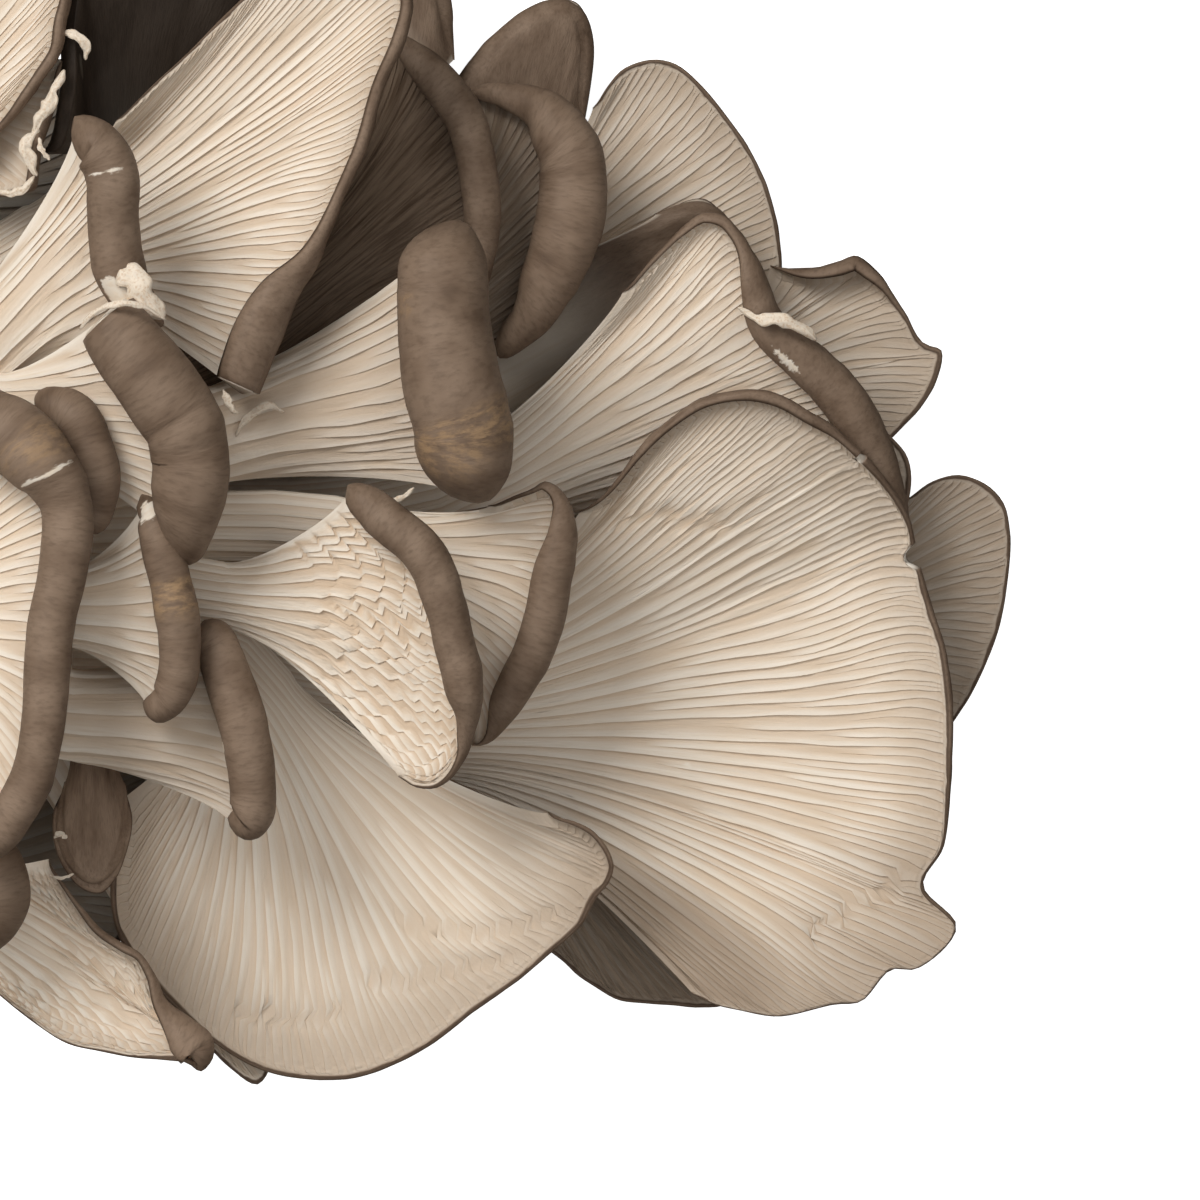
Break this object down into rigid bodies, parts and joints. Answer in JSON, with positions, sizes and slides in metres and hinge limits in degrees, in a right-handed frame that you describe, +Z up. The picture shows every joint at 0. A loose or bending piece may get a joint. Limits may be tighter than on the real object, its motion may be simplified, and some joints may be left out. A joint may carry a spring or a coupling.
{
  "type": "oyster mushroom cluster",
  "caption": "Cluster of grey oyster mushrooms lying on its caps: fan-shaped caps with rolled margins and pale gills, on stems joined in one knot.",
  "frame": {"origin": "middle of the footprint, on the surface that the cluster lies on", "axes": "+Z up; the gills face up; the stems run from their knot at -X out to the caps towards +X"},
  "size_m": [0.1822, 0.166, 0.0776],
  "materials": {
    "mushroom_flesh": "matte cream gills and satin grey-brown cap skin",
    "stem_flesh": "matte pale fibrous flesh"
  },
  "bodies": {
    "root": {"stem_knot": "stem_flesh", "left_fan": "mushroom_flesh", "left_roll": "mushroom_flesh", "small_curl_upper": "mushroom_flesh", "upper_left_cap": "mushroom_flesh", "left_middle_cap": "mushroom_flesh", "small_curl_lower": "mushroom_flesh", "middle_cap": "mushroom_flesh", "top_left_fan": "mushroom_flesh", "lower_left_edge": "mushroom_flesh", "centre_roll": "mushroom_flesh", "lower_left_curl": "mushroom_flesh", "top_left_ruffle": "mushroom_flesh", "top_fan": "mushroom_flesh", "top_left_brown": "mushroom_flesh", "behind_middle": "mushroom_flesh", "lower_fan": "mushroom_flesh", "lower_left_fan": "mushroom_flesh", "shaded_cap": "mushroom_flesh", "right_fan": "mushroom_flesh", "thick_roll": "mushroom_flesh", "right_upper_fan": "mushroom_flesh", "dark_brown_cap": "mushroom_flesh", "upper_right_cap": "mushroom_flesh", "far_right_upper": "mushroom_flesh", "small_right": "mushroom_flesh", "far_right": "mushroom_flesh", "top_back_cap": "mushroom_flesh", "top_brown_cap": "mushroom_flesh", "behind_left_upper": "mushroom_flesh", "far_lower": "mushroom_flesh", "behind_left_lower": "mushroom_flesh", "bottom_tip": "mushroom_flesh", "hidden_left_upper": "mushroom_flesh", "hidden_left_lower": "mushroom_flesh"}
  },
  "joints": []
}
